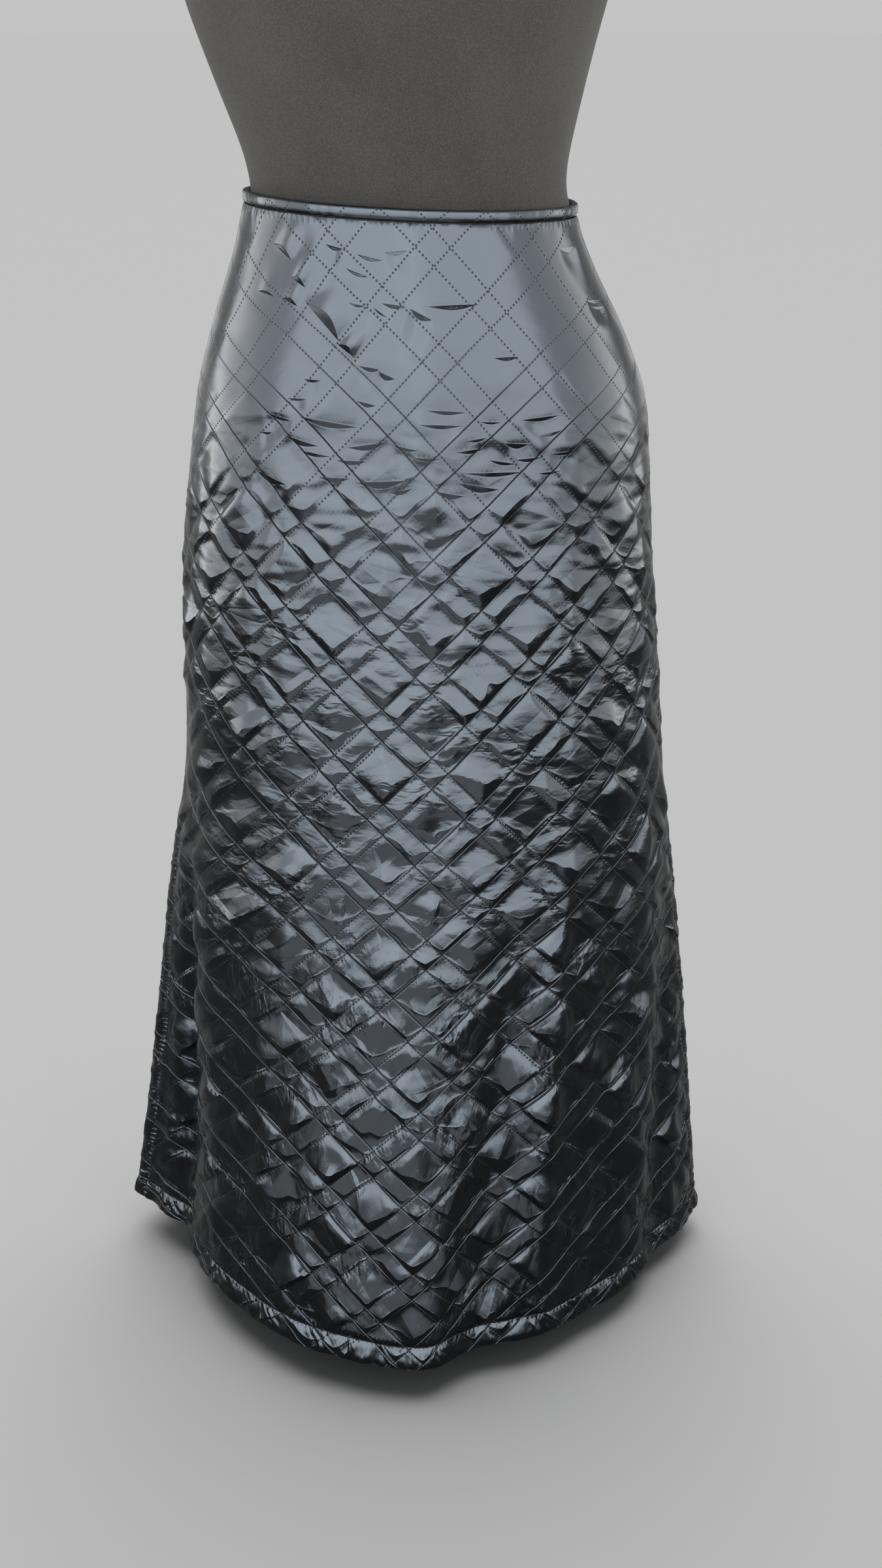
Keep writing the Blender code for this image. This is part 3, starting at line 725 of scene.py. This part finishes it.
def make_strip(panel, name, angle, drop):
    """A turned layer inside the panel: a closed strip over a grid of places."""
    rows, columns = angle.shape
    depth = WALL + SEAM_GAP
    edge = np.minimum.outer(np.minimum(np.arange(rows), np.arange(rows)[::-1]),
                            np.minimum(np.arange(columns), np.arange(columns)[::-1]))
    rounding = np.where(edge == 0, 0.35, 0.0) * TURN_WALL
    across, down, rise, fall = read_all(panel, angle, drop)[:4]
    ribs = 0.0002 * ridges(across / 0.008, down / 0.008, 44)
    facing = panel.facing(panel.folded, angle, drop)
    surface = panel.folded(angle, drop)
    points = [(surface - inset[..., None] * facing).reshape(-1, 3)
              for inset in (depth + rounding, depth + TURN_WALL - rounding + ribs)]
    count = rows * columns
    number = np.arange(count).reshape(rows, columns)
    outer = squares(number)
    sheets = np.stack((outer, outer[:, ::-1] + count), 1).reshape(-1, 4)
    ring = np.concatenate((number[0, :-1], number[:-1, -1], number[-1, :0:-1], number[:0:-1, 0]))
    following = np.roll(ring, -1)
    rim = np.stack((following, ring, ring + count, following + count), -1)
    layouts = {"cloth": (across, down), "quilt": (rise, fall)}
    layouts = {label: [np.tile(values.ravel(), 2) for values in pair] for label, pair in layouts.items()}
    return make_mesh(name, np.concatenate(points), np.concatenate((sheets, rim)).tolist(), layouts)


def slit_angle(panel, drop, width, sign):
    """The angle at a given width of cloth inside a slit's edge."""
    end = np.full_like(drop, 90.0 * sign)
    slope = panel.read(panel.across, end, drop)[1]
    return end - sign * width / slope


# Each runs from one edge to another: width of cloth inside a side's edge, and
# the side, -1 or 1.
TURNED_EDGES = (
    # name, top, rows, columns, first_width, first_side, last_width, last_side
    ("hem", SKIRT_LENGTH - HEM_TURN, 9, 190, SLIT_TURN + SEAM_GAP, -1.0, SLIT_TURN + SEAM_GAP, 1.0),
    ("slit_left", SLIT_DROP, 150, 7, 0.0, -1.0, SLIT_TURN, -1.0),
    ("slit_right", SLIT_DROP, 150, 7, 0.0, 1.0, SLIT_TURN, 1.0),
)


def make_turned_edges(panel):
    """The layers that are turned in at the hem and along the two slits, with their nodes' names."""
    for name, top, rows, columns, first_width, first_side, last_width, last_side in TURNED_EDGES:
        share = np.linspace(0.0, 1.0, columns)[None, :]
        drop = np.linspace(top, SKIRT_LENGTH - 0.0004, rows)[:, None] + 0.0 * share
        first = slit_angle(panel, drop, first_width, first_side)
        last = slit_angle(panel, drop, last_width, last_side)
        node = panel.name.replace("panel", name)
        yield make_strip(panel, node + "_turned", first + (last - first) * share, drop), node


BAND_SQUARENESS = 2.0 / 3.2  # 1 for a round section, towards 0 for a square one
BAND_LEVEL = 0.004  # drop of the place whose direction the whole binding takes


def make_band(front, back):
    """The narrow binding that is turned over the waist edge."""
    around, profile = 420, 20
    turns = np.arange(around) * 360.0 / around
    points, layouts = [], []
    for panel, chosen in ((front, turns < 180.0), (back, turns >= 180.0)):
        turn = turns[chosen]
        angle = (turn - 90.0 if panel is front else 270.0 - turn)[:, None]
        phase = np.arange(profile)[None, :] * 2.0 * math.pi / profile
        outward, upward = (np.sign(part) * np.abs(part) ** BAND_SQUARENESS
                           for part in (np.cos(phase), np.sin(phase)))
        drop = BAND_HEIGHT / 2 * (1.0 - upward) + 0.0 * angle
        angle = angle + 0.0 * phase
        across, down, rise, fall = read_all(panel, angle, drop)[:4]
        gathers = 0.00035 * ridges(across / 0.0065, 0.0 * across + 0.5, 51)
        gathers += 0.00025 * hills(across / 0.022, down / 0.02, 52)
        inset = BAND_WALL / 2 * (1.0 - outward) - (gathers + 0.0003) * (outward > 0)
        level = np.full_like(drop, BAND_LEVEL)
        facing = panel.facing(panel.outline, np.clip(angle, -89.4, 89.4), level)
        facing[..., 2] = 0.0
        facing /= np.linalg.norm(facing, axis=-1, keepdims=True)
        points.append(panel.outline(angle, level) - inset[..., None] * facing)
        points[-1][..., 2] += level - drop
        layouts.append((across, down, rise, fall))
    across, down, rise, fall = (np.concatenate(layer).ravel() for layer in zip(*layouts))
    number = np.pad(np.arange(around * profile).reshape(around, profile), ((0, 1), (0, 1)), "wrap")
    faces = squares(number)[:, (0, 3, 2, 1)].tolist()
    return make_mesh("waist_binding", np.concatenate(points).reshape(-1, 3), faces,
                     {"cloth": (across, down), "quilt": (rise, fall)})


def make_mesh(name, points, faces, layouts, more={}):
    """A smooth closed mesh with its layouts as UV maps; more: those with a value a face corner."""
    mesh = bpy.data.meshes.new(name)
    mesh.from_pydata(points.tolist(), [], faces)
    corner = np.concatenate(faces)
    layouts = {label: [values[corner] for values in pair] for label, pair in layouts.items()}
    for label, pair in {**layouts, **more}.items():
        mesh.uv_layers.new(name=label).data.foreach_set("uv", np.stack(pair, -1).ravel())
    builder = bmesh.new()
    builder.from_mesh(mesh)
    bmesh.ops.recalc_face_normals(builder, faces=builder.faces[:])
    builder.to_mesh(mesh)
    builder.free()
    mesh.shade_smooth()
    mesh.set_sharp_from_angle(angle=math.radians(27.0))
    thing = bpy.data.objects.new(name, mesh)
    bpy.context.collection.objects.link(thing)
    return thing


# ---------------- materials
class Socket:
    """A shader socket that takes part in Python sums."""

    def __init__(self, tree, output):
        self.tree, self.output = tree, output

    def node(self, kind, inputs=(), outlet=0, **settings):
        """Adds a node, sets it up, feeds its sockets and returns one of its outlets."""
        made = self.tree.nodes.new(kind)
        for name, value in settings.items():
            setattr(made, name, value)
        for name, value in dict(inputs).items():
            if isinstance(value, Socket):
                self.tree.links.new(value.output, made.inputs[name])
            else:
                made.inputs[name].default_value = value
        return Socket(self.tree, made.outputs[outlet])

    def math(self, operation, *others, first=None):
        values = (self if first is None else first, *others)
        return self.node("ShaderNodeMath", dict(enumerate(values)), operation=operation)

    def __add__(self, other):
        return self.math("ADD", other)

    __radd__ = __add__

    def __sub__(self, other):
        return self.math("SUBTRACT", other)

    def __rsub__(self, other):
        return self.math("SUBTRACT", self, first=other)

    def __mul__(self, other):
        return self.math("MULTIPLY", other)

    __rmul__ = __mul__

    def __truediv__(self, other):
        return self.math("DIVIDE", other)

    def greater(self, other):
        """The greater of the two."""
        return self.math("MAXIMUM", other)

    def size(self):
        return self.math("ABSOLUTE")

    def sine(self):
        return self.math("SINE")

    def crisper(self, rounding):
        """What a corner at 0, rounded in the mesh, lacks to be sharp."""
        return 0.5 * ((self * self + rounding**2).math("SQRT") - self.size())

    def part(self):
        """The part after the point, from 0 to 1."""
        return self.math("FRACT")

    def fold(self):
        """Up and down again by a half, once for each whole number."""
        return (self.part() - 0.5).size()

    def ramp(self, low, high):
        """0 at low and 1 at high, eased between."""
        return self.node("ShaderNodeMapRange", {"Value": self, "From Min": low, "From Max": high},
                         interpolation_type="SMOOTHSTEP")

    def fade(self, low, high):
        """1 at low and 0 at high, eased between."""
        return 1.0 - self.ramp(low, high)

    def noise(self, scale, detail, outlet=0, **settings):
        inputs = {"Vector": self, "Scale": scale, "Detail": detail}
        return self.node("ShaderNodeTexNoise", inputs, outlet, **settings)

    def stretched(self, scale):
        return self.node("ShaderNodeVectorMath", {0: self, 1: scale}, operation="MULTIPLY")

    def mix(self, first, second):
        """A colour between two, by this share."""
        return self.node("ShaderNodeMix", {0: self, 6: first, 7: second}, 2, data_type="RGBA")


def start_material(name, roughness=0.5, **constants):
    """A material with a Principled shader, its own sockets set to constants."""
    material = bpy.data.materials.new(name)
    material.use_nodes = True
    tree = material.node_tree
    shader = tree.nodes["Principled BSDF"]
    shader.inputs["Roughness"].default_value = roughness
    for socket, value in constants.items():
        shader.inputs[socket.replace("_", " ")].default_value = value
    return material, Socket(tree, None), shader


def connect(shader, inlet, socket):
    socket.tree.links.new(socket.output, shader.inputs[inlet])


def layout(start, name):
    """A UV map's two numbers."""
    place = start.node("ShaderNodeUVMap", uv_map=name)
    return place, place.node("ShaderNodeSeparateXYZ", {0: place}), place.node(
        "ShaderNodeSeparateXYZ", {0: place}, 1)


QUILT_STITCH, EDGE_STITCH = 3.1 * MM, 4.3 * MM  # lengths of a stitch
SEAM_DEPTH, SIDE_SEAM_DEPTH, WAIST_SEAM_DEPTH = 0.26 * MM, 0.20 * MM, 0.10 * MM
NYLON_DARK, NYLON_LIGHT = (0.00009, 0.0001, 0.00012, 1.0), (0.00015, 0.00017, 0.0002, 1.0)


def stitched_family(row, along, slack, down, patches, puckered, bare):
    """All the quilting's lines one way: their relief, their stitch holes with painted shade in them, the
    painted shade of their sharp clefts, and their surroundings.

    slack: where the cloth hangs loose along them, so that their stitches show as
    a row of shaded holes and not as a sharp cleft; bare: where the clefts are open to the light and get
    less painted shade.
    """
    off = ((row + 0.5).part() - 0.5).size()
    off, place = (off - LINES_APART / 2).size() * REPEAT, along * REPEAT
    line = off.fade(0.2 * MM, 1.0 * MM)
    sharp = (1.0 - slack) * down.ramp(0.06, 0.16)
    # the stitch holes: their relief, and where painted shade blacks them out
    stitch_dots_and_shade = line * (place / QUILT_STITCH).fold().ramp(0.30, 0.12) * (1.0 - 0.6 * sharp)
    rib = (place * (2.0 * math.pi / QUILT_STITCH) + 5.0 * patches).sine()
    drawn = puckered * patches.ramp(0.35, 0.60) * (0.008 * MM + slack * (0.034 * MM))
    pucker = rib * off.fade(0.3 * MM, 3.8 * MM) * (0.004 * MM + drawn)
    cleft = off.fade(0.0, 0.9 * MM) * sharp * (0.14 * MM + (puckered + bare) * (0.26 * MM))
    relief = pucker - line * (0.02 * MM + puckered * (0.08 * MM)) - stitch_dots_and_shade * (0.10 * MM) - cleft
    # painted shade along the sharp clefts, less where they are open to the light
    painted_cleft_shade = sharp * (1.0 - 0.8 * bare) * off.fade(0.25 * MM, 0.70 * MM)
    return relief, stitch_dots_and_shade, painted_cleft_shade, off.fade(0.0, 11.0 * MM)


def crisp_folds(start, down, height):
    """Adds to a relief what the mesh's rounded folds and creases lack to be sharp."""
    fold, mask = layout(start, "fold")[1:]
    side, leaf = layout(start, "crease")[1:]
    height = height + fold.crisper(PUFF_ROUNDING) * down.ramp(0.12, 0.22)
    for label in ("crush", "second_crush"):
        valley, crest = layout(start, label)[1:]
        height = height + mask * (crest.crisper(CRUSH_ROUNDING) - valley.crisper(CRUSH_ROUNDING))
    raised = leaf.math("SIGN") * leaf.size().ramp(0.0, 0.2 * MM)
    return height + raised * (side.crisper(CREASE_ROUNDING) - (side - leaf.size()).crisper(CREASE_ROUNDING))


def sewn_edges(start, across, down, patches, height, painted_groove_shade):
    """Adds the seams and the turned edges to a relief, and paints shade along the seam lines."""
    to_side, to_hem = layout(start, "edge")[1:]
    slit = down.ramp(SLIT_DROP, SLIT_DROP + 0.02)
    waist = CLOTH_SHARE * (SKIRT_LENGTH - BAND_HEIGHT) - to_hem
    for off, along, depth in ((to_hem - HEM_TURN, across, SEAM_DEPTH),
                              (to_side - SLIT_TURN, down, slit * SEAM_DEPTH),
                              (to_side, down, (1.0 - slit) * down.ramp(0.08, 0.20) * SIDE_SEAM_DEPTH),
                              (waist, across, WAIST_SEAM_DEPTH)):
        rib = (along * (2.0 * math.pi / EDGE_STITCH) + 9.0 * patches).sine()
        reach = (off - 1.5 * MM).size().fade(0.5 * MM, 5.5 * MM)
        seam = off.size().fade(0.2 * MM, 0.9 * MM)
        height = height + reach * depth * (rib + rib * rib * 0.6) - seam * depth
        # painted shade along the seam line
        painted_groove_shade = painted_groove_shade.greater(seam * depth / SEAM_DEPTH)
    crushed = patches.ramp(0.42, 0.62) * (1.5 * MM)
    hem = to_hem.fade(HEM_TURN - 2.0 * MM, HEM_TURN)
    height = height + hem * (across / (9.0 * MM) + 3.0 * patches + to_hem / (14.0 * MM)).fold() * crushed
    turned = slit * to_side.fade(SLIT_TURN - 2.0 * MM, SLIT_TURN)
    height = height + turned * (down / (7.0 * MM) + 3.0 * patches + to_side / (14.0 * MM)).fold() * crushed
    return height, painted_groove_shade


def fine_crinkles(cloth, down, patches, puckered, beside):
    """The relief of the fine crinkles: level ones high up, upright ones below."""
    bent = cloth.noise(45.0, 1.0, 1)
    bent = bent.node("ShaderNodeVectorMath", {0: bent, 1: (0.012, 0.012, 0.0), 2: cloth},
                     operation="MULTIPLY_ADD")
    level = crinkles(bent, (27.0, 88.0, 1.0)) + 0.25 * crinkles(bent, (90.0, 260.0, 1.0))
    plumb = crinkles(bent, (90.0, 30.0, 1.0)) + 0.30 * crinkles(bent, (250.0, 95.0, 1.0))
    upright = (down + 0.10 * patches).ramp(0.48, 0.68)
    crushed = cloth.noise(22.0, 1.0).ramp(0.50, 0.66)
    amount = 0.08 * MM + puckered * (0.25 * MM + crushed * (1.30 * MM))
    return amount * (0.55 + 0.75 * beside) * (level + upright * (plumb - level))


def nylon_material(name, padded):
    """Glossy downproof nylon: fine weave, dotted stitching, crisp folds and crinkles, with shade painted
    into the stitch holes, clefts and seams.
    """
    material, start, shader = start_material(
        name, Specular_IOR_Level=0.07, IOR=1.5, Specular_Tint=(0.75, 0.87, 1.0, 1.0))
    cloth, across, down = layout(start, "cloth")
    rise, fall = layout(start, "quilt")[1:]
    puckered = down.ramp(0.17, 0.40)
    bare = across.size().ramp(0.15, 0.21).greater(0.6 * down.ramp(0.42, 0.62))
    patches = cloth.noise(32.0, 1.0)
    families = ((rise, fall, across.ramp(0.06, -0.06)), (fall, rise, across.ramp(-0.06, 0.06)))
    reliefs, *others = zip(*(stitched_family(*lines, down, patches, puckered, bare) for lines in families))
    height = reliefs[0] + reliefs[1]
    stitch_dots_and_shade, painted_groove_shade, beside = (first.greater(second) for first, second in others)
    if padded:
        height = crisp_folds(start, down, height)
        height, painted_groove_shade = sewn_edges(start, across, down, patches, height, painted_groove_shade)
    height = height + fine_crinkles(cloth, down, patches, puckered, beside)
    threads = weave_streaks(cloth, (1100.0, 60.0, 1.0)) + weave_streaks(cloth, (60.0, 1100.0, 1.0))
    height = height + threads * (0.018 * MM)
    bump = height.node("ShaderNodeBump", {"Height": height, "Distance": 1.0, "Strength": 1.0})
    connect(shader, "Normal", bump)
    tone = cloth.noise(14.0, 2.0)
    connect(shader, "Base Color", tone.mix(NYLON_DARK, NYLON_LIGHT))
    # Metallic over the near-black base paints shade: the stitch holes, the sharp clefts and the seam lines
    # turn black.
    connect(shader, "Metallic", (stitch_dots_and_shade * (0.55 + 0.3 * puckered)).greater(0.8 * painted_groove_shade))
    connect(shader, "Roughness", 0.20 + 0.06 * tone + 0.5 * stitch_dots_and_shade.greater(painted_groove_shade))
    return material


def crinkles(place, scale):
    """Small flat facets with crisp edges, from 0 to about 0.5."""
    place = place.stretched(scale)
    return place.node("ShaderNodeTexVoronoi", {"Vector": place, "Scale": 1.0},
                      feature="DISTANCE_TO_EDGE", voronoi_dimensions="2D")


def weave_streaks(place, scale):
    """Thicker and thinner threads of the weave, one way."""
    return place.stretched(scale).noise(1.0, 1.0, noise_dimensions="2D")


JERSEY_DARK, JERSEY_LIGHT = (0.158, 0.152, 0.139, 1.0), (0.268, 0.259, 0.238, 1.0)


def jersey_material(name):
    """Matt knitted jersey, stretched over the form."""
    material, start, shader = start_material(name, Specular_IOR_Level=0.25, Sheen_Weight=0.35,
                                             Sheen_Roughness=0.5)
    place = start.node("ShaderNodeTexCoord", outlet=3)
    grain, cloud = place.noise(900.0, 3.0), place.noise(16.0, 3.0)
    tone = (0.7 * grain + 0.3 * cloud).ramp(0.3, 0.7)
    connect(shader, "Base Color", tone.mix(JERSEY_DARK, JERSEY_LIGHT))
    connect(shader, "Roughness", 0.80 + 0.15 * grain)
    connect(shader, "Normal", grain.node("ShaderNodeBump", {"Height": grain, "Distance": 0.0006}))
    return material


def hard_material(name, colour, roughness, **constants):
    """Painted or polished metal with faint handling marks."""
    material, start, shader = start_material(name, **constants)
    place = start.node("ShaderNodeTexCoord", outlet=3)
    marks = place.noise(60.0, 5.0)
    connect(shader, "Base Color", marks.mix(tuple(0.9 * c for c in colour[:3]) + (1.0,), colour))
    connect(shader, "Roughness", roughness + 0.15 * marks)
    return material


# ---------------- pieces
def finish_piece(piece, material, slot, *nodes, lit_by=()):
    """Gives a piece its finish and its body; lit_by: the sets of panels that light it."""
    piece.data.materials.clear()
    piece.data.materials.append(material)
    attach(piece, "root")
    for side in lit_by:
        lit_from[side].objects.link(piece)
    if nodes:
        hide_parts(*nodes)
    return piece


def make_smooth(node, material, slot, levels):
    """A finer, smoother copy of a node of the form or its stand."""
    bpy.ops.object.select_all(action="DESELECT")
    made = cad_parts[node].copy()
    made.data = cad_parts[node].data.copy()
    for key in list(made.keys()):
        del made[key]
    made.name = node + "_finished"
    made.parent = None
    bpy.context.collection.objects.link(made)
    bpy.context.view_layer.objects.active = made
    made.select_set(True)
    bpy.ops.object.mode_set(mode="EDIT")
    bpy.ops.mesh.select_all(action="SELECT")
    bpy.ops.mesh.remove_doubles(threshold=0.00001)
    bpy.ops.mesh.dissolve_limited(angle_limit=math.radians(0.2))
    bpy.ops.mesh.tris_convert_to_quads()
    bpy.ops.object.mode_set(mode="OBJECT")
    if levels:
        modifier = made.modifiers.new("finer", "SUBSURF")
        modifier.levels = modifier.render_levels = levels
    else:
        modifier = made.modifiers.new("finer", "BEVEL")
        modifier.width, modifier.segments, modifier.limit_method = 0.0008, 3, "ANGLE"
    bpy.ops.object.modifier_apply(modifier="finer")
    bpy.ops.object.shade_smooth_by_angle(angle=math.radians(35.0))
    made.select_set(False)
    return finish_piece(made, material, slot, node)


CAMERA_LENS = 39.0
CAMERA_PLACE = (0.019, -1.318, WAIST_HEIGHT + 0.138)
CAMERA_DROOP = 25.1  # degrees below level


def make_camera():
    data = bpy.data.cameras.new("camera")
    data.lens = CAMERA_LENS
    camera = bpy.data.objects.new("camera", data)
    camera.location = CAMERA_PLACE
    camera.rotation_euler = (math.radians(90.0 - CAMERA_DROOP), 0.0, 0.0)
    bpy.context.collection.objects.link(camera)
    bpy.context.scene.camera = camera


def area_light(name, place, target, width, height, brightness, lit):
    data = bpy.data.lights.new(name, "AREA")
    data.shape = "RECTANGLE"
    data.size, data.size_y = width, height
    data.energy = brightness * math.pi * width * height
    light = bpy.data.objects.new(name, data)
    light.location = place
    light.rotation_euler = (Vector(target) - Vector(place)).to_track_quat("-Z", "Y").to_euler()
    light.visible_camera = False
    bpy.context.collection.objects.link(light)
    light.light_linking.receiver_collection = lit


LIGHT_RADIUS = 2.8
# Upright soft panels round the object.  turn: from straight in front towards
# +X, in degrees; lights: the side of the skirt that they light.
LIGHT_PANELS = (
    # name, turn, width, brightness, kind, lights
    ("front_left_panel", -27.5, 3.0, 61.0, "front", "front"),
    ("front_right_panel", 27.5, 3.0, 56.0, "front", "front"),
    ("left_panel", -84.0, 3.2, 38.0, "side", "both"),
    ("right_panel", 84.0, 3.2, 34.0, "side", "both"),
    ("left_far_panel", -133.0, 2.4, 2.0, "side", "both"),
    ("right_far_panel", 133.0, 2.4, 2.0, "side", "both"),
    ("rear_left_panel", -152.5, 3.0, 44.0, "front", "back"),
    ("rear_right_panel", 152.5, 3.0, 49.0, "front", "back"),
)
# They are dimmer towards the floor.
LIGHT_ROWS = (
    # low, high, share of the brightness in front, and at the sides
    (0.15, 0.45, 0.58, 0.30),
    (0.45, 0.95, 0.88, 0.74),
    (0.95, 1.35, 0.95, 0.66),
    (1.35, 3.20, 1.00, 0.64),
)
# Dimmer level ones: two on the floor, which the padding's under sides see,
# and one overhead.  near, far: along Y; middle: along X.
LEVEL_PANELS = (
    # name, near, far, middle, width, height, brightness, lights
    ("front_low_panel", -0.46, -2.30, -0.30, 1.4, 0.004, 11.0, "front"),
    ("rear_low_panel", 0.46, 2.30, 0.0, 0.8, 0.004, 11.0, "back"),
    ("overhead_panel", -2.2, 2.2, 0.0, 4.0, 3.5, 12.5, "both"),
)


FLOOR_RADIUS = 400.0
BACKDROP_RADIUS, BACKDROP_HEIGHT = 50.0, 100.0
SUN_STRENGTH, SUN_SIZE, SUN_LEAN = 2.3, 60.0, -14.0  # size and lean in degrees
WORLD_COLOUR, WORLD_STRENGTH = (0.75, 0.77, 0.80, 1.0), 0.22


def make_studio():
    """The floor and the lights; returns the sets of pieces that the panels light."""
    bpy.ops.mesh.primitive_circle_add(vertices=96, radius=FLOOR_RADIUS, fill_type="NGON")
    floor = bpy.context.object
    floor.name = "studio_floor"
    floor.data.materials.append(start_material(
        "pale_floor", 0.8, Base_Color=(0.62, 0.62, 0.61, 1.0), Specular_IOR_Level=0.2)[0])
    bpy.ops.mesh.primitive_cylinder_add(vertices=96, radius=BACKDROP_RADIUS, depth=BACKDROP_HEIGHT)
    backdrop = bpy.context.object
    backdrop.name = "studio_backdrop"
    for seen_by in ("visible_diffuse", "visible_glossy", "visible_transmission", "visible_shadow"):
        setattr(backdrop, seen_by, False)
    backdrop.data.materials.append(start_material(
        "pale_backdrop", 1.0, Base_Color=(0.0, 0.0, 0.0, 1.0), Specular_IOR_Level=0.0,
        Emission_Color=(0.55, 0.55, 0.55, 1.0), Emission_Strength=1.0)[0])
    lit = {side: bpy.data.collections.new("lit_" + side) for side in ("front", "back", "both")}
    for name, turn, width, brightness, kind, side in LIGHT_PANELS:
        direction = math.radians(turn)
        for low, high, front_share, side_share in LIGHT_ROWS:
            middle = 0.5 * (low + high)
            place = (LIGHT_RADIUS * math.sin(direction), -LIGHT_RADIUS * math.cos(direction), middle)
            share = front_share if kind == "front" else side_share
            area_light(name, place, (0.0, 0.0, middle), width, high - low, brightness * share, lit[side])
    for name, near, far, middle, width, height, brightness, side in LEVEL_PANELS:
        place = Vector((middle, 0.5 * (near + far), height))
        target = (middle, place.y, 1.0)
        area_light(name, place, target, width, abs(far - near), brightness, lit[side])
    data = bpy.data.lights.new("overhead", "SUN")
    data.energy, data.angle = SUN_STRENGTH, math.radians(SUN_SIZE)
    sun = bpy.data.objects.new("overhead", data)
    sun.rotation_euler = (math.radians(SUN_LEAN), 0.0, 0.0)
    bpy.context.collection.objects.link(sun)
    world = bpy.data.worlds.new("studio")
    world.use_nodes = True
    background = world.node_tree.nodes["Background"]
    background.inputs["Color"].default_value = WORLD_COLOUR
    background.inputs["Strength"].default_value = WORLD_STRENGTH
    bpy.context.scene.world = world
    bpy.context.scene.view_settings.view_transform = "Standard"
    return lit


make_camera()
lit_from = make_studio()

quilted = nylon_material("quilted_nylon", True)
nylon = nylon_material("plain_nylon", False)
front = Panel("front_panel", -1, FRONT_HANG, FRONT_FOLDS, FRONT_CREASES, 5)
back = Panel("back_panel", 1, BACK_HANG, BACK_FOLDS, BACK_CREASES, 6)
for panel, side in ((front, "front"), (back, "back")):
    shell = make_shell(panel)
    finish_piece(shell, quilted, "quilted_nylon", panel.name, lit_by=(side, "both"))
    for strip_made, node in make_turned_edges(panel):
        finish_piece(strip_made, nylon, "turned_edge", node, lit_by=(side, "both"))
band = finish_piece(make_band(front, back), nylon, "waist_binding", "waist_band", lit_by=("front", "both"))

jersey = jersey_material("jersey")
black = hard_material("stand_black", (0.025, 0.025, 0.027, 1.0), 0.35)
steel = hard_material("stand_steel", (0.45, 0.45, 0.46, 1.0), 0.22, Metallic=0.95)
make_smooth("torso", jersey, "jersey", 2)
make_smooth("neck_cap", black, "stand_black", 2)
make_smooth("pole", steel, "stand_steel", 0)
make_smooth("base", black, "stand_black", 0)
